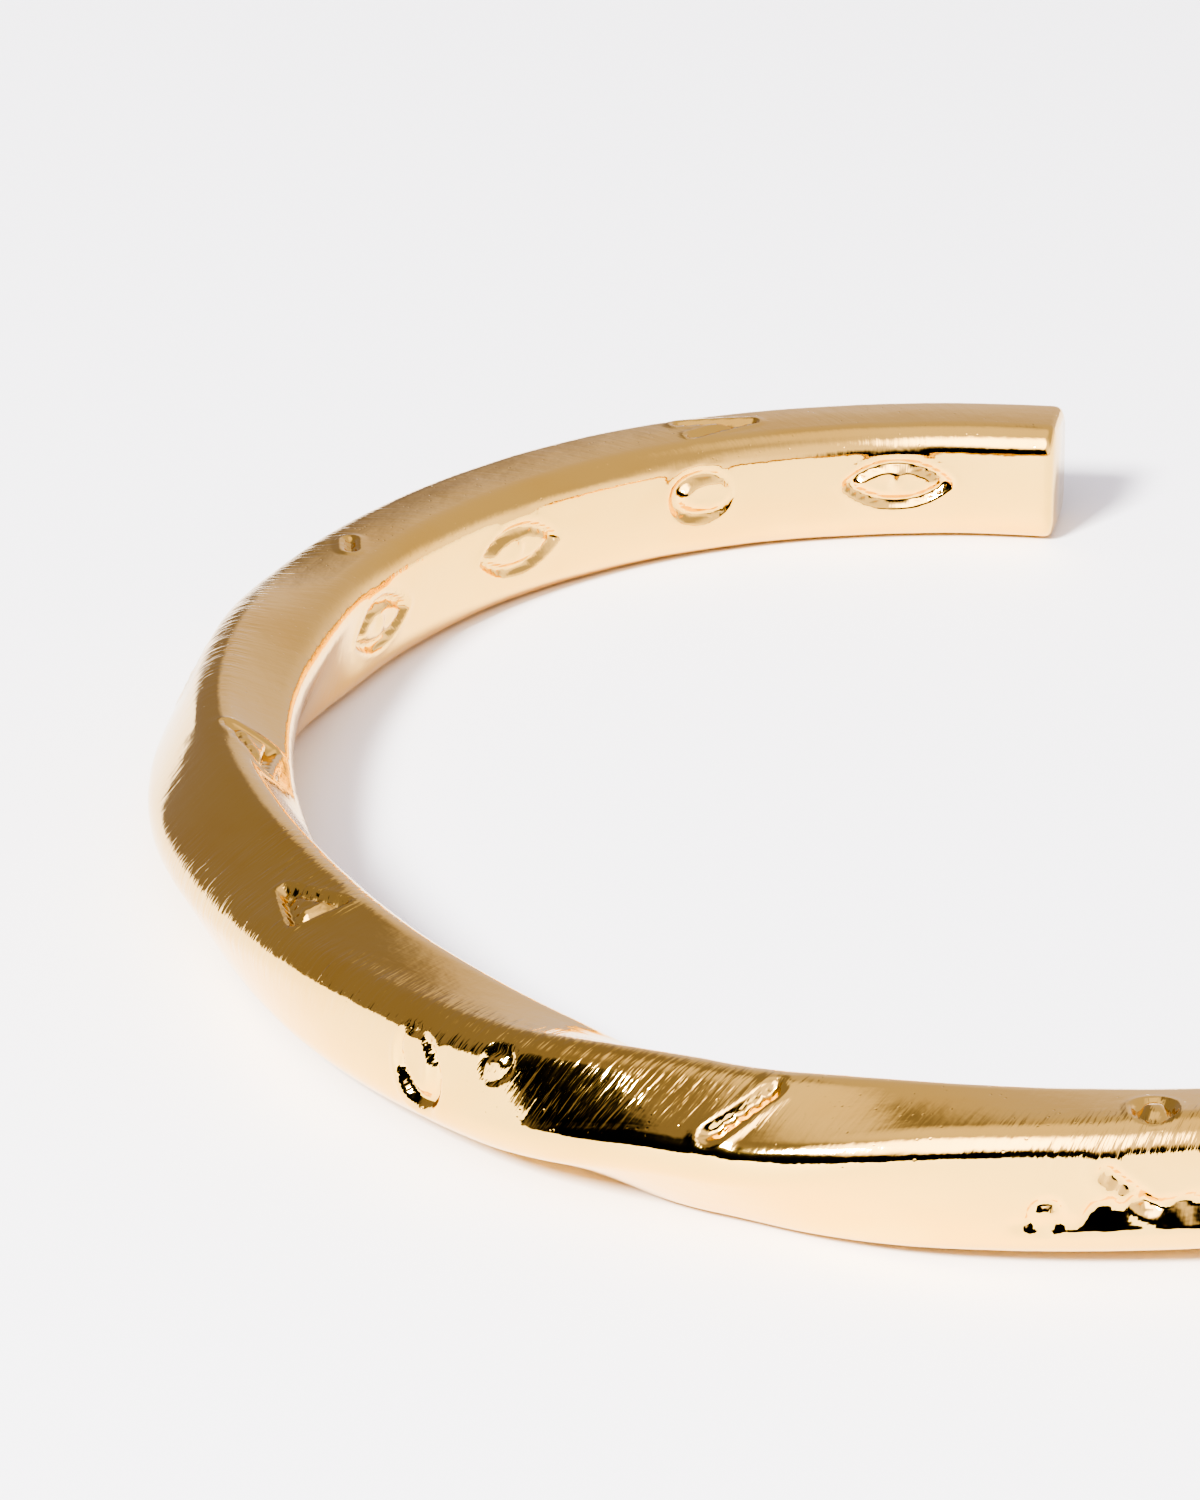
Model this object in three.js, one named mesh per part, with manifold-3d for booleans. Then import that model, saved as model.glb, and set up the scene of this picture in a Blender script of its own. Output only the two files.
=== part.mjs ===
// Open cuff bracelet, lying on its side: one rounded square bar, twisted along its front,
// bent round the wrist in one plane, with small figures stamped into its four faces.
// Millimetres, +Z up, the front towards -Y and the mouth between the two ends towards +Y.

import * as THREE from "three";
import { mergeVertices } from "three/addons/utils/BufferGeometryUtils.js";
import Module from "manifold-3d";

// Bar
const barWidth = 3.8; // through the wall, from the wrist outwards, on the first plain arm
const barHeight = 4.25; // up from the surface that the cuff lies on, on the same arm
const ridgeRadius = 0.9; // rounding of the four long ridges
const endRound = 0.35; // rounding of the edges round each cut end
const barLength = 161.6; // measured along the middle of the bar
const stepLength = 2; // between two cross sections of the bar

// Bend and twist
const bendAngle = 327; // turn of the bar from one end to the other, in degrees
const twistAngle = 270; // turn of the section from one plain arm to the other, in degrees
const plainArm = 32; // stretch at each end that has no twist

// Stamped figures
const figureLength = 3.2; // along the bar
const figureWidth = 2.3; // across a face
const figureStroke = 0.5; // width of a stamped line
const figureDepth = 0.3; // below the face
const stampReach = 0.6; // how far a stamp stands out of the face before it is cut away

// Relative sharpness of the bend, at equal steps from the front to an end
const bendShares = [1.26, 0.64, 0.78, 0.75, 1.22, 1.05];

// Share of half the twist that is done, at equal steps from the front to a plain arm
const twistShares = [0, 0.26, 0.375, 0.505, 0.64, 0.76, 0.86, 1];

const gold = new THREE.MeshStandardMaterial({
  name: "polished_gold",
  color: 0xe3b577,
  roughness: 0.18,
  metalness: 1,
});

// Smooth curve through values given at equal steps from 0 to 1, flat at both ends
function curveThrough(values, share) {
  const last = values.length - 1;
  const place = THREE.MathUtils.clamp(share, 0, 1) * last;
  const index = Math.min(Math.floor(place), last - 1);
  const t = place - index;
  const from = values[index];
  const to = values[index + 1];
  const slopeFrom = index === 0 ? 0 : (to - values[index - 1]) / 2;
  const slopeTo = index + 1 === last ? 0 : (values[index + 2] - from) / 2;
  const rise = t * t * (3 - 2 * t);
  return from + (to - from) * rise
    + slopeFrom * t * (1 - t) * (1 - t)
    - slopeTo * t * t * (1 - t);
}

// Turn of the section at a distance along the bar from the front, 0 on the first plain arm
function twistAt(along) {
  const half = twistAngle / 2;
  const share = Math.abs(along) / (barLength / 2 - plainArm);
  return THREE.MathUtils.degToRad(half - Math.sign(along) * half * curveThrough(twistShares, share));
}

// Plan of the bent centreline from the front to one end, as points with their headings
function bendHalf() {
  const steps = 400;
  const length = barLength / 2 / steps;
  const sharpness = (step) => curveThrough(bendShares, (step + 0.5) / steps);
  let total = 0;
  for (let step = 0; step < steps; step += 1) {
    total += sharpness(step);
  }
  const turnPerShare = THREE.MathUtils.degToRad(bendAngle / 2) / total;
  const points = [{ x: 0, y: 0, heading: 0 }];
  for (let step = 0; step < steps; step += 1) {
    const last = points[step];
    const turn = turnPerShare * sharpness(step);
    const middle = last.heading + turn / 2;
    points.push({
      x: last.x - length * Math.cos(middle),
      y: last.y + length * Math.sin(middle),
      heading: last.heading + turn,
    });
  }
  return points;
}

const half = bendHalf();

// Point and heading of the centreline at a distance along the bar, past the ends too
function centreAt(along) {
  const place = Math.abs(along) / (barLength / 2) * (half.length - 1);
  const index = Math.min(Math.floor(place), half.length - 2);
  const t = place - index;
  const side = along < 0 ? -1 : 1;
  const mix = (key) => half[index][key] + (half[index + 1][key] - half[index][key]) * t;
  return { x: side * mix("x"), y: mix("y"), heading: side * mix("heading") };
}

// Height of the bar's middle: on the surface along a plain arm, then rising with the twist until
// the section stands on a ridge, and level from there to where it lies down on the other arm
function liftAt(along) {
  const out = barWidth / 2 - ridgeRadius;
  const up = barHeight / 2 - ridgeRadius;
  const onRidge = Math.atan2(out, up);
  const turn = twistAt(along);
  const level = turn > onRidge && turn < Math.PI + onRidge ? onRidge : turn;
  return ridgeRadius + out * Math.abs(Math.sin(level)) + up * Math.abs(Math.cos(level));
}

// Place in the bent cuff of a point of the straight bar: out from the wrist, up, and along
function bend(out, up, along) {
  const centre = centreAt(along);
  const turn = twistAt(along);
  const outwards = out * Math.cos(turn) - up * Math.sin(turn);
  const upwards = out * Math.sin(turn) + up * Math.cos(turn);
  return [
    centre.x - outwards * Math.sin(centre.heading),
    centre.y - outwards * Math.cos(centre.heading),
    liftAt(along) + upwards,
  ];
}

// Square section with rounded ridges, centred on the bar's middle
function barSection() {
  const x = barWidth / 2;
  const y = barHeight / 2;
  const r = ridgeRadius;
  const section = new THREE.Shape();
  section.moveTo(x, r - y);
  section.lineTo(x, y - r);
  section.absarc(x - r, y - r, r, 0, Math.PI / 2);
  section.lineTo(r - x, y);
  section.absarc(r - x, y - r, r, Math.PI / 2, Math.PI);
  section.lineTo(-x, r - y);
  section.absarc(r - x, r - y, r, Math.PI, 1.5 * Math.PI);
  section.lineTo(x - r, -y);
  section.absarc(x - r, r - y, r, 1.5 * Math.PI, 2 * Math.PI);
  return section;
}

// Moves every vertex of a geometry and leaves only its positions, shared between its triangles
function remap(geometry, move) {
  geometry.deleteAttribute("normal");
  geometry.deleteAttribute("uv");
  const merged = mergeVertices(geometry, 1e-4);
  const position = merged.getAttribute("position");
  for (let i = 0; i < position.count; i += 1) {
    position.setXYZ(i, ...move(position.getX(i), position.getY(i), position.getZ(i)));
  }
  return merged;
}

function bentBar() {
  const straight = new THREE.ExtrudeGeometry(barSection(), {
    depth: barLength - 2 * endRound,
    steps: Math.round(barLength / stepLength),
    curveSegments: 3,
    bevelThickness: endRound,
    bevelSize: endRound,
    bevelOffset: -endRound,
    bevelSegments: 2,
  });
  return remap(straight, (x, y, z) => bend(x, y, z + endRound - barLength / 2));
}

// Outlines of the figures, centred, x along the bar and y across its face

// Width of a stamped line, narrower in a small figure
function lineWidth(length, width) {
  return Math.min(figureStroke, length / 4, width / 4);
}

function triangle(length, width) {
  const x = length / 2;
  const y = width / 2;
  const corners = [new THREE.Vector2(-x, -y), new THREE.Vector2(x, 0), new THREE.Vector2(-x, y)];
  const inradius = 2 * x * y / (y + Math.hypot(2 * x, y));
  const centre = new THREE.Vector2(inradius - x, 0);
  const shrink = 1 - 0.9 * lineWidth(length, width) / inradius;
  const shape = new THREE.Shape(corners);
  shape.holes.push(new THREE.Path(
    corners.map((corner) => corner.clone().sub(centre).multiplyScalar(shrink).add(centre)),
  ));
  return shape;
}

function eye(length, width) {
  const x = length / 2;
  const y = width / 2;
  const inner = 1 - lineWidth(length, width) / y;
  const shape = new THREE.Shape();
  shape.moveTo(-x, 0).quadraticCurveTo(0, -2 * y, x, 0).quadraticCurveTo(0, 2 * y, -x, 0);
  const hole = new THREE.Path();
  hole.moveTo(-x * inner, 0);
  hole.quadraticCurveTo(0, -2 * y * inner, x * inner, 0);
  hole.quadraticCurveTo(0, 2 * y * inner, -x * inner, 0);
  shape.holes.push(hole);
  return shape;
}

function crescent(length, width) {
  const line = lineWidth(length, width);
  const outer = length / 2;
  const inner = outer - line;
  const open = Math.PI / 3;
  const flat = width / length;
  const shape = new THREE.Shape();
  shape.absellipse(0, 0, outer, outer * flat, open, 2 * Math.PI - open);
  shape.absellipse(line, 0, inner, inner * flat, 2 * Math.PI - open, open, true);
  return shape;
}

function stroke(length, width) {
  const r = 0.8 * lineWidth(length, width);
  const x = length / 2 - r;
  const shape = new THREE.Shape();
  shape.absarc(x, 0, r, -Math.PI / 2, Math.PI / 2);
  shape.absarc(-x, 0, r, Math.PI / 2, 1.5 * Math.PI);
  return shape;
}

function chevron(length, width) {
  const line = lineWidth(length, width);
  const x = length / 2;
  const y = width / 2;
  return new THREE.Shape([
    new THREE.Vector2(-x, -y),
    new THREE.Vector2(x, 0),
    new THREE.Vector2(-x, y),
    new THREE.Vector2(-x, y - 1.5 * line),
    new THREE.Vector2(x - 2.5 * line, 0),
    new THREE.Vector2(-x, 1.5 * line - y),
  ]);
}

// Where each figure is stamped: the face is named by its place on the first plain arm, along is a
// share of half the bar from the front, across a share of half the face from its middle, turn is the
// figure's own turn on the face, in degrees, and long and wide are shares of the figures' sizes
const figures = [
  { face: "inner", along: 0.926, across: 0.07, turn: 0, long: 1.5, wide: 0.8, outline: eye },
  { face: "inner", along: 0.83, across: 0.14, turn: 0, long: 0.9, wide: 0.85, outline: crescent },
  { face: "inner", along: 0.72, across: 0.05, turn: 0, long: 1.5, wide: 0.8, outline: eye },
  { face: "inner", along: 0.607, across: 0.05, turn: 0, long: 1.5, wide: 0.8, outline: eye },
  { face: "top", along: 0.85, across: 0, turn: 0, long: 0.9, wide: 0.7, outline: chevron },
  { face: "top", along: 0.626, across: 0, turn: 30, long: 0.5, wide: 0.7, outline: stroke },
  { face: "top", along: 0.377, across: 0.2, turn: 180, long: 1.2, wide: 1, outline: triangle },
  { face: "outer", along: 0.75, across: 0, turn: 0, long: 1, wide: 0.9, outline: crescent },
  { face: "outer", along: 0.5, across: 0, turn: 0, long: 1.4, wide: 0.8, outline: eye },
  { face: "outer", along: 0.232, across: 0, turn: 0, long: 0.98, wide: 0.97, outline: triangle },
  { face: "bottom", along: 0.455, across: -0.4, turn: 180, long: 1.3, wide: 0.6, outline: chevron },
  { face: "bottom", along: 0.116, across: -0.09, turn: -70, long: 0.86, wide: 0.85, outline: crescent },
  { face: "bottom", along: 0.079, across: -0.42, turn: 60, long: 0.4, wide: 0.5, outline: crescent },
  { face: "bottom", along: -0.017, across: -0.04, turn: 48, long: 0.92, wide: 1, outline: stroke },
  { face: "bottom", along: -0.159, across: 0.3, turn: 0, long: 0.55, wide: 0.7, outline: eye },
  { face: "inner", along: -0.121, across: 0.28, turn: 90, long: 0.4, wide: 0.5, outline: crescent },
  { face: "inner", along: -0.149, across: -0.08, turn: -42, long: 0.8, wide: 1, outline: stroke },
  { face: "inner", along: -0.38, across: 0, turn: 0, long: 1, wide: 1, outline: triangle },
  { face: "inner", along: -0.6, across: 0, turn: 20, long: 1, wide: 1, outline: stroke },
  { face: "inner", along: -0.77, across: 0, turn: 180, long: 1, wide: 0.8, outline: chevron },
  { face: "top", along: -0.25, across: 0, turn: 90, long: 0.8, wide: 1, outline: triangle },
  { face: "top", along: -0.5, across: 0, turn: 0, long: 1.4, wide: 0.8, outline: eye },
  { face: "top", along: -0.75, across: 0, turn: 180, long: 0.9, wide: 0.85, outline: crescent },
  { face: "bottom", along: -0.6, across: 0, turn: 0, long: 1.5, wide: 0.8, outline: eye },
  { face: "bottom", along: -0.71, across: 0, turn: 0, long: 1.5, wide: 0.8, outline: eye },
  { face: "bottom", along: -0.82, across: 0, turn: 180, long: 0.9, wide: 0.85, outline: crescent },
  { face: "bottom", along: -0.917, across: 0, turn: 0, long: 1.5, wide: 0.8, outline: eye },
];

// Solid of one stamp, bent with the bar, from below the face to stampReach above it
function stamp({ face, along, across, turn, long, wide, outline }) {
  const depth = figureDepth + stampReach;
  const shape = outline(long * figureLength, wide * figureWidth);
  const punch = new THREE.ExtrudeGeometry(shape, { depth, bevelEnabled: false, curveSegments: 5 });
  punch.rotateZ(THREE.MathUtils.degToRad(turn));
  const quarter = ["outer", "top", "inner", "bottom"].indexOf(face) * Math.PI / 2;
  const wall = quarter % Math.PI === 0;
  const level = (wall ? barWidth : barHeight) / 2 - figureDepth;
  const middle = across * (wall ? barHeight : barWidth) / 2;
  return remap(punch, (x, y, z) => bend(
    Math.cos(quarter) * (level + z) + Math.sin(quarter) * (middle + y),
    Math.sin(quarter) * (level + z) - Math.cos(quarter) * (middle + y),
    along * barLength / 2 + x,
  ));
}

const wasm = await Module();
wasm.setup();

function toSolid(geometry) {
  return new wasm.Manifold(new wasm.Mesh({
    numProp: 3,
    vertProperties: new Float32Array(geometry.getAttribute("position").array),
    triVerts: new Uint32Array(geometry.index.array),
  }));
}

function toGeometry(solid) {
  const mesh = solid.getMesh();
  const geometry = new THREE.BufferGeometry();
  geometry.setAttribute("position", new THREE.BufferAttribute(mesh.vertProperties, 3));
  geometry.setIndex(new THREE.BufferAttribute(mesh.triVerts, 1));
  geometry.computeVertexNormals();
  return geometry;
}

function cuffBand() {
  let solid = toSolid(bentBar());
  for (const figure of figures) {
    solid = solid.subtract(toSolid(stamp(figure)));
  }
  const geometry = toGeometry(solid);
  geometry.computeBoundingBox();
  const middle = geometry.boundingBox.getCenter(new THREE.Vector3());
  geometry.translate(-middle.x, -middle.y, 0);
  const mesh = new THREE.Mesh(geometry, gold);
  mesh.name = "cuff_band";
  return mesh;
}

const cuff = new THREE.Group();
cuff.add(cuffBand());

export default cuff;
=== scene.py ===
"""Open cuff bracelet: a twisted bar of polished gold with small stamped figures, lying on its side."""

from math import cos, pi, radians, sin

import bmesh
import bpy
import numpy as np
from bpy.props import FloatProperty, FloatVectorProperty, IntProperty, PointerProperty
from bpy.types import Operator, Panel, PropertyGroup
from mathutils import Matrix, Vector, noise


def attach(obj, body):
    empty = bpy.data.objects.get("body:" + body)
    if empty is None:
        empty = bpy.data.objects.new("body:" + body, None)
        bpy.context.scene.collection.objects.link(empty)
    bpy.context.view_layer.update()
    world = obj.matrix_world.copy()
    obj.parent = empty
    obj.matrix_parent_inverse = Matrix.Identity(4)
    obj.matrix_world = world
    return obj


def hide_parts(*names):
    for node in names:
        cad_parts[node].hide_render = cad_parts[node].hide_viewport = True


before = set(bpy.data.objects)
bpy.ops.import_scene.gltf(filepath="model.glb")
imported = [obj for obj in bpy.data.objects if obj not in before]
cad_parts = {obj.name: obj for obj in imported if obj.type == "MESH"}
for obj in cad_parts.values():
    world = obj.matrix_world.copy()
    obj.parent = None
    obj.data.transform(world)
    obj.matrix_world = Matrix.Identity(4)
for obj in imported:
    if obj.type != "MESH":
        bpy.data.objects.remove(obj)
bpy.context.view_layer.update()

bl_info = {
    "name": "Twisted Cuff",
    "version": (1, 0, 0),
    "blender": (4, 5, 0),
    "location": "View3D > Sidebar > Cuff",
    "description": "Models a twisted gold cuff bracelet with stamped figures, and its studio",
    "category": "Add Mesh",
}

MM = 0.001

# Keeps a division from dividing by nothing
TINY = 1e-9

# Relative sharpness of the bend, at equal steps from the front to an end
BEND_SHARES = (1.26, 0.64, 0.78, 0.75, 1.22, 1.05)

# Steps in which the bend is added up from the front to an end
BEND_STEPS = 400

# Share of half the twist that is done, at equal steps from the front to a plain arm
TWIST_SHARES = (0, 0.26, 0.375, 0.505, 0.64, 0.76, 0.86, 1)

FACES = ("outer", "top", "inner", "bottom")


class CuffBar(PropertyGroup):
    """Sizes of the bar and of its bend and twist"""

    width: FloatProperty(name="Width", description="Through the wall", default=3.8 * MM, unit="LENGTH")
    height: FloatProperty(name="Height", description="Up from the table", default=4.25 * MM, unit="LENGTH")
    ridge: FloatProperty(
        name="Ridge", description="Rounding of the ridges", default=0.9 * MM, unit="LENGTH")
    end: FloatProperty(name="End", description="Rounding of the ends", default=0.35 * MM, unit="LENGTH")
    length: FloatProperty(name="Length", description="Along the bar", default=161.6 * MM, unit="LENGTH")
    plain: FloatProperty(
        name="Plain arm", description="Untwisted stretch", default=32 * MM, unit="LENGTH")
    bend: FloatProperty(
        name="Bend", description="Turn from end to end", default=radians(327), unit="ROTATION")
    twist: FloatProperty(
        name="Twist", description="Turn of the section", default=radians(270), unit="ROTATION")
    dome: FloatProperty(
        name="Dome", description="Fall of the faces to their unrounded edges", default=0.12 * MM,
        unit="LENGTH")
    wave: FloatProperty(
        name="Wave", description="Unevenness of the faces", default=0.035 * MM, unit="LENGTH")
    rows: IntProperty(name="Rows", description="Cuts in each of two rounds along the bar", default=31)
    strips: IntProperty(name="Strips", description="Cuts across each flat face", default=14)
    rounds: IntProperty(name="Rounds", description="Segments round each ridge", default=6)


class CuffFigure(PropertyGroup):
    """Sizes of the stamped figures"""

    length: FloatProperty(name="Length", description="Along the bar", default=3.2 * MM, unit="LENGTH")
    width: FloatProperty(name="Width", description="Across a face", default=2.3 * MM, unit="LENGTH")
    stroke: FloatProperty(name="Stroke", description="Width of a line", default=0.5 * MM, unit="LENGTH")
    depth: FloatProperty(name="Depth", description="Depth of a line", default=0.3 * MM, unit="LENGTH")
    lip: FloatProperty(
        name="Lip", description="Rise of the metal round it", default=0.05 * MM, unit="LENGTH")
    bead: FloatProperty(
        name="Bead", description="Pitch of the punched beads", default=0.42 * MM, unit="LENGTH")


class CuffGold(PropertyGroup):
    """Finish of the metal"""

    colour: FloatVectorProperty(
        name="Gold", description="Colour of the plating", subtype="COLOR", default=(0.96, 0.625, 0.19))
    deep: FloatVectorProperty(
        name="Deep gold", description="Colour of its redder patches", subtype="COLOR",
        default=(0.95, 0.6, 0.17))
    roughness: FloatProperty(name="Roughness", description="Roughness of the polish", default=0.05)
    dull: FloatProperty(name="Dull", description="Roughness added by brushing or ripple", default=0.03)
    brush: FloatProperty(
        name="Brush", description="Depth of the brushed marks", default=0.026 * MM, unit="LENGTH")
    peel: FloatProperty(
        name="Peel", description="Depth of the soft ripple", default=0.01 * MM, unit="LENGTH")
    pit: FloatProperty(name="Pit", description="Depth of the pits", default=0.006 * MM, unit="LENGTH")
    pits: FloatProperty(name="Pits", description="Places for a pit in a millimetre", default=5)


class CuffStage(PropertyGroup):
    """Floor, lights and camera"""

    floor: FloatVectorProperty(
        name="Floor", description="Colour of the floor", subtype="COLOR", default=(0.86, 0.86, 0.86))
    paper: FloatProperty(name="Paper", description="Roughness of the floor", default=0.7)
    spread: FloatProperty(name="Spread", description="Side of the floor", default=3, unit="LENGTH")
    key: FloatProperty(name="Key", description="Power of the key lamp in watts", default=29)
    key_size: FloatProperty(
        name="Key size", description="Side of the key lamp", default=200 * MM, unit="LENGTH")
    key_place: FloatVectorProperty(
        name="Key place", description="To the right of the aim, away from the camera, and up",
        unit="LENGTH", default=(-0.458, -0.654, 0.602))
    glow: FloatProperty(
        name="Glow", description="Brightness of the screen round the key lamp", default=4)
    room: FloatProperty(name="Room", description="Brightness of the walls", default=0.58)
    ceiling: FloatProperty(name="Ceiling", description="Brightness overhead", default=0.9)
    left: FloatProperty(name="Left", description="Brightness of the left wall", default=0.27)
    low: FloatProperty(
        name="Low", description="Brightness near the floor in the right half", default=0.696)
    right: FloatProperty(name="Right", description="Brightness low on the far right", default=1.3)
    behind: FloatProperty(
        name="Behind", description="Brightness behind the camera on the right", default=1.16)
    azimuth: FloatProperty(
        name="Azimuth", description="Round from the front", default=radians(26.71), unit="ROTATION")
    elevation: FloatProperty(
        name="Elevation", description="Above the floor", default=radians(21.9), unit="ROTATION")
    distance: FloatProperty(
        name="Distance", description="From the aim", default=278.9 * MM, unit="LENGTH")
    lens: FloatProperty(name="Lens", description="Focal length in millimetres", default=201.16)
    aim: FloatVectorProperty(
        name="Aim", description="What the camera looks at", unit="LENGTH",
        default=(-19.53 * MM, 2.6 * MM, 0))


def curve_through(values, share):
    """Smooth curve through values given at equal steps from 0 to 1, flat at both ends."""
    values = np.asarray(values, float)
    last = len(values) - 1
    place = np.clip(share, 0, 1) * last
    index = np.minimum(place.astype(int), last - 1)
    t = place - index
    start = values[index]
    stop = values[index + 1]
    before = values[np.maximum(index - 1, 0)]
    after = values[np.minimum(index + 2, last)]
    slope_start = np.where(index == 0, 0, (stop - before) / 2)
    slope_stop = np.where(index + 1 == last, 0, (after - start) / 2)
    return (start + (stop - start) * t * t * (3 - 2 * t)
            + slope_start * t * (1 - t) ** 2 - slope_stop * t * t * (1 - t))


def twist_at(bar, along):
    """Turn of the section at a distance along the bar from the front, 0 on the first plain arm."""
    share = np.abs(along) / (bar.length / 2 - bar.plain)
    return bar.twist / 2 * (1 - np.sign(along) * curve_through(TWIST_SHARES, share))


def centre_at(bar, along):
    """Plan place and heading of the bent centreline."""
    middle = (np.arange(BEND_STEPS) + 0.5) / BEND_STEPS
    sharp = curve_through(BEND_SHARES, middle)
    turn = sharp * bar.bend / 2 / sharp.sum()
    heading = np.concatenate([[0], np.cumsum(turn)])
    between = heading[:-1] + turn / 2
    step = bar.length / 2 / BEND_STEPS
    x = np.concatenate([[0], np.cumsum(-step * np.cos(between))])
    y = np.concatenate([[0], np.cumsum(step * np.sin(between))])
    marks = np.arange(BEND_STEPS + 1) * step
    side = np.where(along < 0, -1, 1)
    away = np.abs(along)
    return (side * np.interp(away, marks, x), np.interp(away, marks, y),
            side * np.interp(away, marks, heading))


def lift_at(bar, turn):
    """Height of the bar's middle: it rises until the section stands on a ridge, and then stays level."""
    wide = bar.width / 2 - bar.ridge
    high = bar.height / 2 - bar.ridge
    on_ridge = np.arctan2(wide, high)
    level = np.where((turn > on_ridge) & (turn < pi + on_ridge), on_ridge, turn)
    return bar.ridge + wide * np.abs(np.sin(level)) + high * np.abs(np.cos(level))


def bend(bar, places):
    """Places in the bent cuff of points of the straight bar: out from the wrist, up, and along."""
    out, up, along = places.T
    x, y, heading = centre_at(bar, along)
    turn = twist_at(bar, along)
    outwards = out * np.cos(turn) - up * np.sin(turn)
    upwards = out * np.sin(turn) + up * np.cos(turn)
    middle = lift_at(bar, turn)
    return np.stack([x - outwards * np.sin(heading), y - outwards * np.cos(heading), middle + upwards], 1)


def smooth(value, low, high):
    """Runs smoothly from 0 at low to 1 at high."""
    t = np.clip((value - low) / (high - low), 0, 1)
    return t * t * (3 - 2 * t)


def noise_over(points):
    """Smooth noise from 1 to -1 at every point."""
    return np.array([noise.noise(Vector(point)) for point in points])


def from_segment(x, y, start, stop):
    """Distance to a straight line between two points, and the length run along it."""
    dx = stop[0] - start[0]
    dy = stop[1] - start[1]
    length = np.hypot(dx, dy)
    run = np.clip(((x - start[0]) * dx + (y - start[1]) * dy) / length, 0, length)
    return np.hypot(x - start[0] - run * dx / length, y - start[1] - run * dy / length), run


def from_ring(x, y, long, wide):
    """Distance to an ellipse with the given half axes."""
    reach = np.sqrt((x / long) ** 2 + (y / wide) ** 2) + TINY
    slope = np.sqrt((x / long ** 2) ** 2 + (y / wide ** 2) ** 2) / reach + TINY
    return np.abs(reach - 1) / slope


def from_lens(x, y, long, wide):
    """Distance to a pointed oval made of two arcs, with the given half axes."""
    radius = (long * long + wide * wide) / (2 * wide)
    return np.abs(np.hypot(x, np.abs(y) + radius - wide) - radius)


def beads_along(run, fig):
    """Row of beads: 1 on top of each and 0 between them."""
    return 0.5 + 0.5 * np.cos(2 * pi * run / fig.bead)


# Shares of a line's depth that are filled by a bead, by the top of a pupil, in a crescent's mouth, and
# by a bead in a slot, whose row fills a part of that between its beads too
BEAD_FILL = 0.6
PUPIL_FILL = 0.4
MOUTH_FILL = 0.6
SLOT_FILL = 0.75
SLOT_ROW = 0.35

# Breadth of a line, as a share of the usual, at a crescent's mouth and back, in a slot and in a chevron
MOUTH_BREADTH = 0.45
BACK_BREADTH = 1.55
SLOT_BREADTH = 1.25
CHEVRON_BREADTH = 1.2

# Half width of a pupil, as a share of its eye's width, and how far round from the middle of its mouth,
# as a share of the way to its back, a crescent's line starts to deepen and is deep
PUPIL_SIZE = 0.18
MOUTH_LIMITS = (0.05, 0.5)


# Each figure gives, for points x along and y across it, the distance to its nearest stamped line,
# less where the line is broader, and how much of the line's depth is filled

def triangle(x, y, length, width, line, fig):
    """Triangle, its point along the bar, one side of it beaded."""
    inradius = length * width / (width + np.hypot(2 * length, width))
    centre = inradius - length / 2
    inner = 1 - line / 2 / inradius
    low = (centre - inradius * inner, -width / 2 * inner)
    high = (centre - inradius * inner, width / 2 * inner)
    point = (centre + (length / 2 - centre) * inner, 0)
    plain = np.minimum(from_segment(x, y, point, high)[0], from_segment(x, y, high, low)[0])
    beaded, run = from_segment(x, y, low, point)
    return np.minimum(plain, beaded), np.where(beaded < plain, BEAD_FILL * beads_along(run, fig), 0)


def eye(x, y, length, width, line, fig):
    """Pointed ring round a domed pupil."""
    lid = from_lens(x, y, length / 2 - line, width / 2 - line / 2)
    pupil = PUPIL_SIZE * width
    dome = np.clip(1 - (x * x + y * y) / pupil ** 2, 0, 1)
    return lid, PUPIL_FILL * dome


def crescent(x, y, length, width, line, fig):
    """Ring that is broad at its back and fades towards its mouth."""
    long = length / 2 - line / 2
    wide = width / 2 - line / 2
    back = 0.5 - 0.5 * x / np.maximum(np.hypot(x, y * long / wide), TINY)
    breadth = MOUTH_BREADTH + (BACK_BREADTH - MOUTH_BREADTH) * back
    mouth = 1 - smooth(back, *MOUTH_LIMITS)
    return from_ring(x, y, long, wide) / breadth, MOUTH_FILL * mouth


def stroke(x, y, length, width, line, fig):
    """Broad slot with a row of beads along one side of its floor."""
    reach = length / 2 - 0.8 * line
    row_at = 0.2 * line
    row_width = 0.45 * line
    distance, run = from_segment(x, y, (-reach, 0), (reach, 0))
    row = np.clip(1 - ((y - row_at) / row_width) ** 2, 0, 1)
    beads = SLOT_ROW + (1 - SLOT_ROW) * beads_along(run, fig)
    return distance / SLOT_BREADTH, SLOT_FILL * row * beads


def chevron(x, y, length, width, line, fig):
    """Open angle, its point along the bar."""
    point = (length / 2 - line, 0)
    arms = ((-length / 2, line / 2 - width / 2), (-length / 2, width / 2 - line / 2))
    distance = np.minimum(*[from_segment(x, y, arm, point)[0] for arm in arms])
    return distance / CHEVRON_BREADTH, np.zeros(len(x))


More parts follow.
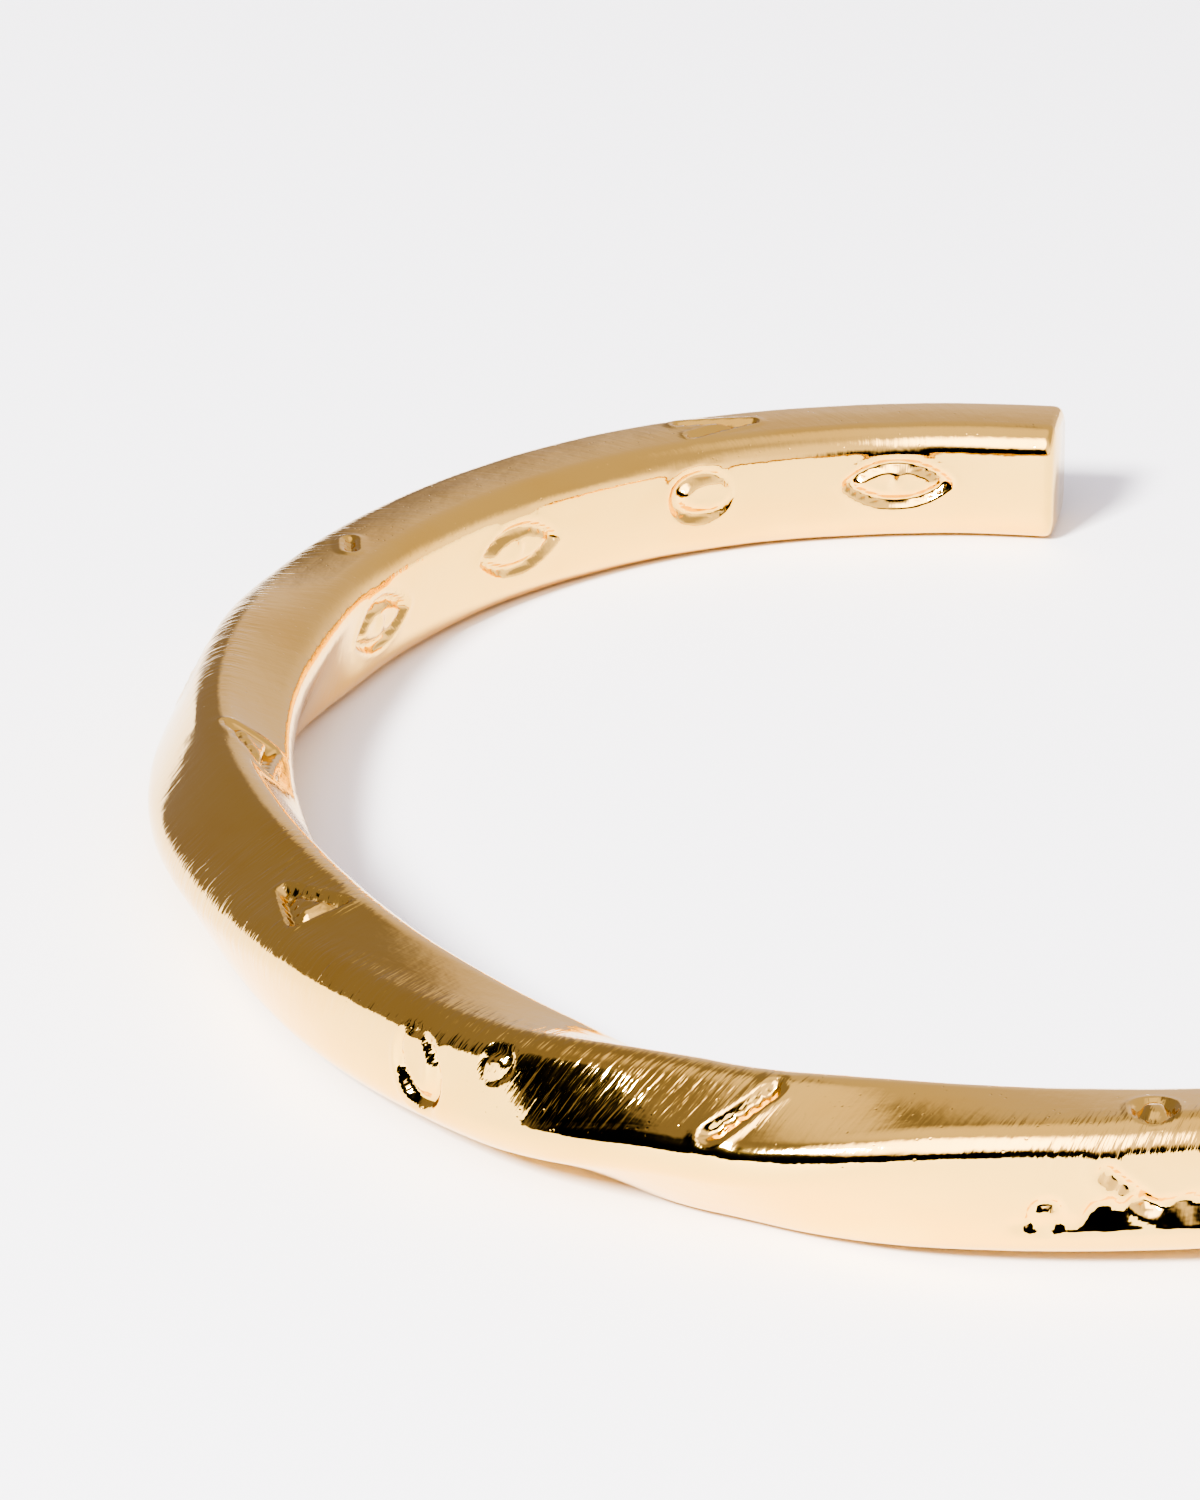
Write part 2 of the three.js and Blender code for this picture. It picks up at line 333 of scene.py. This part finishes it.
# Each figure's face, named by its place on the first plain arm; its place along the bar, as a share
# of half its length, and across the face; its turn; its length and width, as shares of the usual
FIGURES = (
    ("inner", 0.926, 0.07, 0, 1.5, 0.8, eye),
    ("inner", 0.83, 0.14, 0, 0.9, 0.85, crescent),
    ("inner", 0.72, 0.05, 0, 1.5, 0.8, eye),
    ("inner", 0.607, 0.05, 0, 1.5, 0.8, eye),
    ("top", 0.85, 0, 0, 0.9, 0.7, chevron),
    ("top", 0.626, 0, 30, 0.5, 0.7, stroke),
    ("top", 0.377, 0.2, 180, 1.2, 1, triangle),
    ("outer", 0.75, 0, 0, 1, 0.9, crescent),
    ("outer", 0.5, 0, 0, 1.4, 0.8, eye),
    ("outer", 0.232, 0, 0, 0.98, 0.97, triangle),
    ("bottom", 0.455, -0.4, 180, 1.3, 0.6, chevron),
    ("bottom", 0.116, -0.09, -70, 0.86, 0.85, crescent),
    ("bottom", 0.079, -0.42, 60, 0.4, 0.5, crescent),
    ("bottom", -0.017, -0.04, 48, 0.92, 1, stroke),
    ("bottom", -0.159, 0.3, 0, 0.55, 0.7, eye),
    ("inner", -0.121, 0.28, 90, 0.4, 0.5, crescent),
    ("inner", -0.149, -0.08, -42, 0.8, 1, stroke),
    ("inner", -0.38, 0, 0, 1, 1, triangle),
    ("inner", -0.6, 0, 20, 1, 1, stroke),
    ("inner", -0.77, 0, 180, 1, 0.8, chevron),
    ("top", -0.25, 0, 90, 0.8, 1, triangle),
    ("top", -0.5, 0, 0, 1.4, 0.8, eye),
    ("top", -0.75, 0, 180, 0.9, 0.85, crescent),
    ("bottom", -0.6, 0, 0, 1.5, 0.8, eye),
    ("bottom", -0.71, 0, 0, 1.5, 0.8, eye),
    ("bottom", -0.82, 0, 180, 0.9, 0.85, crescent),
    ("bottom", -0.917, 0, 0, 1.5, 0.8, eye),
)

# Share of a figure's larger size, from its middle, that holds all its points
FIGURE_REACH = 0.6

# How far from square to a figure's face a point may face, as a cosine
FACE_LIMIT = 0.5

# Section of a stamped line, in halves of its width: the edge of its flat floor, and the top and the
# spread of the lip beside it
FLOOR_EDGE = 0.15
LIP_TOP = 1.35
LIP_SPREAD = 0.5

# Rows at a figure and at an end, for each one elsewhere; the least length that a figure counts for, as
# a share of the usual; and the marks along the bar at which this is added up
FIGURE_ROWS = 3
END_ROWS = 4
LEAST_FIGURE = 0.8
ROW_MARKS = 4001


def select_edges(piece, test):
    """Selects in edit mode the edges whose two ends pass a test."""
    shape = bmesh.from_edit_mesh(piece.data)
    for edge in shape.edges:
        edge.select_set(test(edge.verts[0].co, edge.verts[1].co))
    bmesh.update_edit_mesh(piece.data)


def straight_bar(bar):
    """Straight bar with rounded ridges, cut into rows and strips."""
    bpy.ops.object.select_all(action="DESELECT")
    bpy.ops.mesh.primitive_cube_add(size=1)
    piece = bpy.context.active_object
    piece.name = "cuff"
    piece.scale = (bar.width, bar.height, bar.length)
    bpy.ops.object.transform_apply(scale=True)
    far = bar.length / 2
    bpy.ops.object.mode_set(mode="EDIT")
    bpy.ops.mesh.select_mode(type="FACE")
    shape = bmesh.from_edit_mesh(piece.data)
    for face in shape.faces:
        face.select_set(abs(face.normal.z) > 0.5)
    bpy.ops.mesh.delete(type="ONLY_FACE")
    bpy.ops.mesh.select_mode(type="EDGE")
    select_edges(piece, lambda a, b: abs(a.z - b.z) > far)
    bpy.ops.mesh.bevel(offset=bar.ridge, segments=bar.rounds, affect="EDGES")
    flat = min(bar.width, bar.height) / 2 - bar.ridge
    select_edges(piece, lambda a, b: abs(a.z - b.z) < far and (a - b).length > flat)
    bpy.ops.mesh.subdivide(number_cuts=bar.strips)
    select_edges(piece, lambda a, b: abs(a.z - b.z) > far)
    bpy.ops.mesh.subdivide(number_cuts=bar.rows)
    row = bar.length / (bar.rows + 1) / 2
    select_edges(piece, lambda a, b: abs(a.z - b.z) > row)
    bpy.ops.mesh.subdivide(number_cuts=bar.rows)
    at_end = far - 0.01 * MM
    for side in (-1, 1):
        select_edges(piece, lambda a, b: min(side * a.z, side * b.z) > at_end)
        bpy.ops.mesh.edge_face_add()
    bpy.ops.object.mode_set(mode="OBJECT")
    return piece


def crowd_rows(along, bar, fig):
    """Moves the rows closer together at the figures and, most of all, at the rounded ends."""
    far = bar.length / 2
    marks = np.linspace(-far, far, ROW_MARKS)
    weight = np.ones(ROW_MARKS)
    for _, share, _, _, long, _, _ in FIGURES:
        reach = FIGURE_REACH * max(long, LEAST_FIGURE) * fig.length
        weight[np.abs(marks - share * far) < reach] = FIGURE_ROWS
    weight[np.abs(marks) > far - bar.end] = END_ROWS
    filled = np.concatenate([[0], np.cumsum((weight[1:] + weight[:-1]) / 2)])
    share = (along + far) / (2 * far)
    return np.interp(share * filled[-1], filled, marks)


def end_rounding(along, bar):
    """How far the section draws in towards each rounded end."""
    t = np.clip((np.abs(along) - bar.length / 2 + bar.end) / bar.end, 0, 1)
    return bar.end * (1 - np.sqrt(1 - t * t))


def stamp_depth(places, facing, bar, fig):
    """Depth of the stamped figures at every point of the straight bar."""
    depth = np.zeros(len(places))
    for face, share, across, turn, long, wide, figure in FIGURES:
        quarter = FACES.index(face)
        outwards = np.array([cos(quarter * pi / 2), sin(quarter * pi / 2)])
        half_face = (bar.width if quarter % 2 else bar.height) / 2
        aside = places[:, 0] * outwards[1] - places[:, 1] * outwards[0] - across * half_face
        run = places[:, 2] - share * bar.length / 2
        length = long * fig.length
        width = wide * fig.width
        line = min(fig.stroke, length / 4, width / 4)
        near = np.abs(run) < FIGURE_REACH * max(length, width) + 2 * line
        near &= facing @ outwards > FACE_LIMIT
        x = run[near] * cos(radians(turn)) + aside[near] * sin(radians(turn))
        y = aside[near] * cos(radians(turn)) - run[near] * sin(radians(turn))
        distance, filled = figure(x, y, length, width, line, fig)
        reach = 2 * distance / line
        groove = 1 - smooth(reach, FLOOR_EDGE, 1)
        lip = np.exp(-((reach - LIP_TOP) / LIP_SPREAD) ** 2) * (1 - groove)
        if figure is not eye:
            filled = filled * groove
        depth[near] += line / fig.stroke * (fig.depth * (groove - filled) - fig.lip * lip)
    return depth


# Ragged dent in the near arm's inner face. Lengths are in millimetres: along the bar from the front, and
# aside from the middle of the face
DENT_START = (-17.5, -16.5)
DENT_STOP = (-9.2, -8.6)

# The dent falls gently from its brim, and rises steeply to its other edge, which steps aside on its way
DENT_BRIM = 1.25
DENT_FALL = 0.33
DENT_EDGE = 0.1
DENT_RISE = 1.6
EDGE_STEP = 0.5
EDGE_STEP_AT = (-11.2, -10.6)

# Raggedness of the brim and of the edge, its turns per millimetre aside and along, and where in the
# noise it is taken
RAGGED_BRIM = 0.08
RAGGED_EDGE = 0.3
RAGGED_ASIDE = 1.5
RAGGED_ALONG = 2.2
RAGGED_SEED = 7

# How squarely a point faces inwards, as a cosine, where the dent starts and where it is full
DENT_FACING = (0.6, 0.95)


def worn_hollow(places, facing):
    """Depth of a ragged dent in the near arm's inner face, deepest near its steep edge."""
    along = places[:, 2] / MM
    aside = places[:, 1] / MM
    seed = np.full(len(places), RAGGED_SEED)
    ragged = noise_over(np.stack([RAGGED_ASIDE * aside, seed, RAGGED_ALONG * along], 1))
    brim = DENT_BRIM + RAGGED_BRIM * ragged
    edge = DENT_EDGE + EDGE_STEP * smooth(along, *EDGE_STEP_AT) + RAGGED_EDGE * ragged
    ends = smooth(along, *DENT_START) * (1 - smooth(along, *DENT_STOP))
    dent = np.minimum(DENT_FALL * (brim - aside), DENT_RISE * (aside - edge))
    return np.clip(dent, 0, 1) * ends * smooth(-facing[:, 0], *DENT_FACING) * MM


def doming(places, facing, bar):
    """How far the slightly domed faces have sunk at every point, from nothing along their middles."""
    share = 2 * places[:, :2] / [bar.width, bar.height]
    return bar.dome * (share ** 2 * facing[:, ::-1] ** 2).sum(1)


# Slow swell of the faces and the ripple over it: turns per millimetre through, up and along the bar, the
# ripple's shift away from the swell, and its share
SWELL = (0.45, 0.45, 0.16)
RIPPLE = (0.9, 0.9, 0.5)
RIPPLE_SHIFT = (0, 0, 40)
RIPPLE_SHARE = 0.35


def unevenness(places):
    """Slow swell of hand-finished faces, between about 1 and -1."""
    scaled = places / MM
    return noise_over(scaled * SWELL) + RIPPLE_SHARE * noise_over(scaled * RIPPLE + RIPPLE_SHIFT)


# Brushed patches: the way each lies from the middle of the section, its middle along the bar from the
# front, and its half length
BRUSHED = (
    ((1, -1), 14 * MM, 14 * MM),
    ((0.3, -1), 3 * MM, 6 * MM),
    ((1, 0.4), 20 * MM, 4 * MM),
    ((-1, -1), -20 * MM, 12 * MM),
    ((-1, 1), -45 * MM, 12 * MM),
    ((1, 1), 45 * MM, 10 * MM),
)

# Strength of the brushing outside the patches, the shares of a patch's half length between which it
# fades, and the cosines of a point's angle to the patch's way at which it starts and is full
FAINT_BRUSHING = 0.12
PATCH_FADE = (0.6, 1.2)
PATCH_FACING = (0.75, 0.98)


def brushing(places):
    """How strongly each point is brushed, from a little everywhere to fully in the patches."""
    outwards = places[:, :2] / np.linalg.norm(places[:, :2], axis=1)[:, None]
    strength = np.full(len(places), FAINT_BRUSHING)
    for towards, middle, reach in BRUSHED:
        aligned = outwards @ (np.array(towards) / np.hypot(*towards))
        along = 1 - smooth(np.abs(places[:, 2] - middle), PATCH_FADE[0] * reach, PATCH_FADE[1] * reach)
        strength = np.maximum(strength, along * smooth(aligned, *PATCH_FACING))
    return strength


def set_attribute(mesh, name, kind, field, values):
    """Stores a number or a vector for every point of a mesh."""
    layer = mesh.attributes.new(name, kind, "POINT")
    layer.data.foreach_set(field, np.ascontiguousarray(values, dtype=np.float32).ravel())


def shape_cuff(piece, bar, fig):
    """Stamps, twists and bends the straight bar, and sets it down on the floor round the middle."""
    mesh = piece.data
    places = np.empty(len(mesh.vertices) * 3)
    mesh.vertices.foreach_get("co", places)
    places = places.reshape(-1, 3)
    places[:, 2] = crowd_rows(places[:, 2], bar, fig)
    set_attribute(mesh, "bar_place", "FLOAT_VECTOR", "vector", places / MM)
    set_attribute(mesh, "brushed", "FLOAT", "value", brushing(places))

    core = np.array([bar.width / 2 - bar.ridge, bar.height / 2 - bar.ridge])
    facing = places[:, :2] - np.clip(places[:, :2], -core, core)
    facing /= np.maximum(np.linalg.norm(facing, axis=1), TINY)[:, None]
    inside = np.clip((bar.length / 2 - bar.end - np.abs(places[:, 2])) / MM, 0, 1)
    sink = stamp_depth(places, facing, bar, fig) - bar.wave * unevenness(places) * inside
    sink += end_rounding(places[:, 2], bar) + worn_hollow(places, facing) + doming(places, facing, bar)

    bent = bend(bar, places)
    middle = (bent.min(0) + bent.max(0)) / 2
    places[:, :2] -= facing * sink[:, None]
    worked = bend(bar, places)
    worked -= [middle[0], middle[1], worked[:, 2].min()]
    mesh.vertices.foreach_set("co", worked.ravel())
    mesh.update()


def node(tree, kind, at, **values):
    """Adds a shader node and sets its own properties."""
    made = tree.nodes.new(kind)
    made.location = at
    for name, value in values.items():
        setattr(made, name, value)
    return made


def feed(tree, slot, value):
    """Feeds an input with a number or from a socket."""
    if isinstance(value, (int, float)):
        slot.default_value = value
    else:
        tree.links.new(value, slot)


def combine(tree, operation, at, first, second):
    """Adds a Math node over two sockets or numbers."""
    made = node(tree, "ShaderNodeMath", at, operation=operation)
    feed(tree, made.inputs[0], first)
    feed(tree, made.inputs[1], second)
    return made.outputs[0]


def ramp(tree, at, value, low, high):
    """Adds a Map Range node that runs smoothly from 0 at low to 1 at high."""
    made = node(tree, "ShaderNodeMapRange", at, interpolation_type="SMOOTHSTEP")
    made.inputs["From Min"].default_value = low
    made.inputs["From Max"].default_value = high
    tree.links.new(value, made.inputs["Value"])
    return made.outputs[0]


def stretched_noise(tree, at, place, size, detail, turn=(0, 0, 0)):
    """Adds a Noise node whose grains have the given sizes along turned axes."""
    mapping = node(tree, "ShaderNodeMapping", at, vector_type="TEXTURE")
    mapping.inputs["Scale"].default_value = size
    mapping.inputs["Rotation"].default_value = turn
    tree.links.new(place, mapping.inputs["Vector"])
    grain = node(tree, "ShaderNodeTexNoise", (at[0] + 200, at[1]))
    grain.inputs["Scale"].default_value = 1
    grain.inputs["Detail"].default_value = detail
    tree.links.new(mapping.outputs[0], grain.inputs["Vector"])
    return grain.outputs["Fac"]


def new_group(name, result, **inputs):
    """Starts a shader node group that gives a number: its tree, its input sockets and its output."""
    group = bpy.data.node_groups.new(name, "ShaderNodeTree")
    for label, kind in inputs.items():
        group.interface.new_socket(label, in_out="INPUT", socket_type=kind)
    group.interface.new_socket(result, in_out="OUTPUT", socket_type="NodeSocketFloat")
    source = node(group, "NodeGroupInput", (-900, 0)).outputs
    return group, source, node(group, "NodeGroupOutput", (700, 0)).inputs[0]


def place_group(tree, group, at, **inputs):
    """Places a node group and feeds its inputs with sockets or numbers."""
    made = node(tree, "ShaderNodeGroup", at, node_tree=group)
    for name, value in inputs.items():
        feed(tree, made.inputs[name], value)
    return made.outputs[0]


def bump(tree, at, height, distance, normal=None):
    """Adds a Bump node, over another one if that is given."""
    made = node(tree, "ShaderNodeBump", at)
    made.inputs["Distance"].default_value = distance
    tree.links.new(height, made.inputs["Height"])
    if normal is not None:
        tree.links.new(normal, made.inputs["Normal"])
    return made.outputs[0]


# Limits of the random value that chooses which places have a speck, and how far from its middle a
# speck starts and is full, as shares of the distance between places
SPECK_CHOICE = (0.75, 0.95)
SPECK_EDGE = (0.28, 0.05)

# Brushed marks: sizes of their grains in millimetres through, up and along the bar, levels of detail,
# turns in radians that make them lean, the share of the fine ones, and the limits that sharpen the sum
LONG_MARKS = ((2.4, 2.4, 0.32), 3, (0.25, 0.46, 0))
FINE_MARKS = ((1.6, 1.6, 0.14), 2, (0.2, 0.4, 0))
FINE_SHARE = 0.5
MARK_LIMITS = (0.45, 1.05)

# Grain sizes in millimetres of the redder patches and of the ripple, their levels of detail, and the
# limits of a patch
PATCH_GRAIN = ((2, 2, 4.5), 2)
PEEL_GRAIN = ((0.45, 0.45, 0.6), 2)
PATCH_LIMITS = (0.42, 0.72)


def fine_speckle():
    """Group: small scattered specks, from a place and how many places there are for them."""
    group, source, result = new_group(
        "fine_speckle", "Specks", Place="NodeSocketVector", Fineness="NodeSocketFloat")
    dots = node(group, "ShaderNodeTexVoronoi", (-500, 0))
    group.links.new(source["Place"], dots.inputs["Vector"])
    group.links.new(source["Fineness"], dots.inputs["Scale"])
    parts = node(group, "ShaderNodeSeparateColor", (-300, -150))
    group.links.new(dots.outputs["Color"], parts.inputs[0])
    chosen = ramp(group, (-100, -150), parts.outputs[0], *SPECK_CHOICE)
    near = ramp(group, (-100, 100), dots.outputs["Distance"], *SPECK_EDGE)
    group.links.new(combine(group, "MULTIPLY", (200, 0), near, chosen), result)
    return group


def brushed_marks():
    """Group: fine marks drawn across the bar, denser where the mask is high."""
    group, source, result = new_group(
        "brushed_marks", "Marks", Place="NodeSocketVector", Mask="NodeSocketFloat")
    long = stretched_noise(group, (-700, 200), source["Place"], *LONG_MARKS)
    fine = stretched_noise(group, (-700, -200), source["Place"], *FINE_MARKS)
    fine = combine(group, "MULTIPLY", (-300, -150), fine, FINE_SHARE)
    sharp = ramp(group, (0, 0), combine(group, "ADD", (-200, 0), long, fine), *MARK_LIMITS)
    group.links.new(combine(group, "MULTIPLY", (300, 0), sharp, source["Mask"]), result)
    return group


def gold_material(gold):
    """Polished gold plating with brushed marks, fine pits and redder patches."""
    material = bpy.data.materials.new("polished_gold")
    material.use_nodes = True
    tree = material.node_tree
    shader = tree.nodes["Principled BSDF"]
    shader.inputs["Metallic"].default_value = 1
    place = node(tree, "ShaderNodeAttribute", (-1600, 0), attribute_name="bar_place").outputs["Vector"]
    brushed = node(tree, "ShaderNodeAttribute", (-1600, -300), attribute_name="brushed").outputs["Fac"]
    marks = place_group(tree, brushed_marks(), (-1200, -300), Place=place, Mask=brushed)
    pits = place_group(tree, fine_speckle(), (-1200, -500), Place=place, Fineness=gold.pits)
    peel = stretched_noise(tree, (-1300, -750), place, *PEEL_GRAIN)

    soft = stretched_noise(tree, (-1300, 300), place, *PATCH_GRAIN)
    patches = ramp(tree, (-800, 300), soft, *PATCH_LIMITS)
    tint = node(tree, "ShaderNodeMix", (-500, 300), data_type="RGBA")
    tint.inputs["A"].default_value = (*gold.colour, 1)
    tint.inputs["B"].default_value = (*gold.deep, 1)
    tree.links.new(patches, tint.inputs["Factor"])
    tree.links.new(tint.outputs["Result"], shader.inputs["Base Color"])

    dull = combine(tree, "MULTIPLY", (-800, 0), brushed, gold.dull)
    uneven = combine(tree, "MULTIPLY", (-800, -150), peel, gold.dull)
    rough = combine(tree, "ADD", (-600, 0), dull, uneven)
    rough = combine(tree, "ADD", (-400, 0), rough, gold.roughness)
    tree.links.new(rough, shader.inputs["Roughness"])

    normal = bump(tree, (-500, -750), peel, gold.peel)
    sunk = combine(tree, "MULTIPLY", (-700, -500), pits, -1)
    normal = bump(tree, (-300, -500), sunk, gold.pit, normal)
    normal = bump(tree, (-100, -300), marks, gold.brush, normal)
    tree.links.new(normal, shader.inputs["Normal"])
    return material


class CUFF_OT_band(Operator):
    """Model the cuff's band: a stamped, twisted and bent bar"""

    bl_idname = "cuff.band"
    bl_label = "Cuff band"

    def execute(self, context):
        bar = context.scene.cuff_bar
        piece = straight_bar(bar)
        shape_cuff(piece, bar, context.scene.cuff_figure)
        bpy.ops.object.shade_smooth()
        piece.data.materials.append(gold_material(context.scene.cuff_gold))
        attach(piece, "root")
        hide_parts("cuff_band")
        return {"FINISHED"}


def from_camera(stage, right, away, up):
    """Place in the frame of a point given from the aim on the floor, as seen from the camera's side."""
    turn = stage.azimuth
    aside = Vector((right * cos(turn) - away * sin(turn), right * sin(turn) + away * cos(turn), up))
    return aside + Vector((stage.aim[0], stage.aim[1], 0))


def aim_at(thing, target):
    """Turns a light or the camera to look at a point."""
    thing.rotation_euler = (Vector(target) - thing.location).to_track_quat("-Z", "Y").to_euler()


def add_floor(stage):
    """Pale paper under the cuff."""
    bpy.ops.object.select_all(action="DESELECT")
    bpy.ops.mesh.primitive_plane_add(size=stage.spread)
    floor = bpy.context.active_object
    floor.name = "floor"
    paper = bpy.data.materials.new("pale_paper")
    paper.use_nodes = True
    shader = paper.node_tree.nodes["Principled BSDF"]
    shader.inputs["Base Color"].default_value = (*stage.floor, 1)
    shader.inputs["Roughness"].default_value = stage.paper
    floor.data.materials.append(paper)


def add_key(stage):
    """Square softbox that shines at what the camera looks at."""
    lamp = bpy.data.lights.new("key", "AREA")
    lamp.size = stage.key_size
    lamp.energy = stage.key
    light = bpy.data.objects.new("key", lamp)
    bpy.context.collection.objects.link(light)
    light.location = from_camera(stage, *stage.key_place)
    aim_at(light, stage.aim)


def add_camera(stage):
    """Camera at the photo's angle to the cuff."""
    camera = bpy.data.objects.new("camera", bpy.data.cameras.new("camera"))
    bpy.context.collection.objects.link(camera)
    camera.data.lens = stage.lens
    camera.data.clip_start = 10 * MM
    level = stage.distance * cos(stage.elevation)
    camera.location = from_camera(stage, 0, -level, stage.distance * sin(stage.elevation))
    aim_at(camera, stage.aim)
    bpy.context.scene.camera = camera


# The room's parts, each with a brightness in CuffStage. A part has limits along ways that are seen from
# the camera's side: it isn't there at a way's first limit, and is all there at the second
ROOM_PARTS = (
    ("left", {"right": (0.03, -0.1), "up": (0.93, 0.82)}),
    ("ceiling", {"up": (0.85, 0.99)}),
    ("right", {"right": (0.5, 0.95), "up": (0.45, 0.1)}),
    ("low", {"right": (-0.05, 0.05), "up": (0.5, 0.2)}),
    ("behind", {"away": (-0.2, -0.7), "right": (-0.35, 0)}),
)

# The black card, whose upper edge falls by a slope to the right, and the screen round the key lamp,
# with the way that it lies in
CARD = {"slant": (0.58, 0.28), "up": (0.72, 0.62), "away": (0, -0.15), "right": (0.5, 0.3)}
CARD_SLOPE = 0.6
SCREEN = {"screen": (0.89, 0.98)}
SCREEN_WAY = (-0.18, -0.68, 0.71)

ROOM_TINT = (1, 0.93, 1.02, 1)


def mask(tree, row, ways, limits):
    """Multiplies ramps along the ways that have limits."""
    whole = 1
    for column, (way, (start, full)) in enumerate(limits.items()):
        edge = ramp(tree, (200 * column - 900, row), ways[way], start, full)
        whole = combine(tree, "MULTIPLY", (200 * column - 800, row - 60), whole, edge)
    return whole


def studio_world(stage):
    """Pale room: a bright screen behind the camera, a black card below it, and a dim wall on the left."""
    world = bpy.data.worlds.new("studio")
    world.use_nodes = True
    tree = world.node_tree
    background = tree.nodes["Background"]
    background.inputs["Color"].default_value = ROOM_TINT
    place = node(tree, "ShaderNodeTexCoord", (-1800, 0)).outputs["Generated"]
    mapping = node(tree, "ShaderNodeMapping", (-1600, 0))
    mapping.inputs["Rotation"].default_value = (0, 0, -stage.azimuth)
    tree.links.new(place, mapping.inputs["Vector"])
    axes = node(tree, "ShaderNodeSeparateXYZ", (-1400, 0))
    tree.links.new(mapping.outputs[0], axes.inputs[0])
    ways = dict(zip(("right", "away", "up"), axes.outputs))
    slope = combine(tree, "MULTIPLY", (-1200, 200), ways["right"], CARD_SLOPE)
    ways["slant"] = combine(tree, "ADD", (-1100, 200), ways["up"], slope)
    screen = node(tree, "ShaderNodeVectorMath", (-1200, -200), operation="DOT_PRODUCT")
    tree.links.new(mapping.outputs[0], screen.inputs[0])
    screen.inputs[1].default_value = SCREEN_WAY
    ways["screen"] = screen.outputs["Value"]

    light = stage.room
    for number, (part, limits) in enumerate(ROOM_PARTS):
        row = -200 * number
        amount = getattr(stage, part) - stage.room
        added = combine(tree, "MULTIPLY", (-200, row), mask(tree, row, ways, limits), amount)
        light = combine(tree, "ADD", (0, row), light, added)
    bare = combine(tree, "SUBTRACT", (0, 200), 1, mask(tree, 200, ways, CARD))
    light = combine(tree, "MULTIPLY", (200, 0), light, bare)
    glow = combine(tree, "MULTIPLY", (0, 400), mask(tree, 400, ways, SCREEN), stage.glow)
    light = combine(tree, "ADD", (400, 0), light, glow)
    tree.links.new(light, background.inputs["Strength"])
    return world


class CUFF_OT_stage(Operator):
    """Set up the pale floor, the soft studio light and the camera"""

    bl_idname = "cuff.stage"
    bl_label = "Studio"

    def execute(self, context):
        stage = context.scene.cuff_stage
        add_floor(stage)
        add_key(stage)
        context.scene.world = studio_world(stage)
        add_camera(stage)
        context.scene.view_settings.view_transform = "AgX"
        context.scene.view_settings.look = "AgX - High Contrast"
        return {"FINISHED"}


class CUFF_PT_panel(Panel):
    """Lists the cuff's sizes and the steps that make it"""

    bl_idname = "CUFF_PT_panel"
    bl_label = "Twisted cuff"
    bl_space_type = "VIEW_3D"
    bl_region_type = "UI"
    bl_category = "Cuff"

    def draw(self, context):
        for name in GROUPS:
            group = getattr(context.scene, name)
            box = self.layout.box()
            for key in group.bl_rna.properties.keys():
                if key not in ("rna_type", "name"):
                    box.prop(group, key)
        for step in (CUFF_OT_band, CUFF_OT_stage):
            self.layout.operator(step.bl_idname)


GROUPS = {"cuff_bar": CuffBar, "cuff_figure": CuffFigure, "cuff_gold": CuffGold, "cuff_stage": CuffStage}
CLASSES = (*GROUPS.values(), CUFF_OT_band, CUFF_OT_stage, CUFF_PT_panel)


def register():
    for made in CLASSES:
        bpy.utils.register_class(made)
    for name, group in GROUPS.items():
        setattr(bpy.types.Scene, name, PointerProperty(type=group))


def unregister():
    for name in GROUPS:
        delattr(bpy.types.Scene, name)
    for made in reversed(CLASSES):
        bpy.utils.unregister_class(made)


def main():
    register()
    bpy.ops.cuff.band()
    bpy.ops.cuff.stage()


if __name__ == "__main__":
    main()
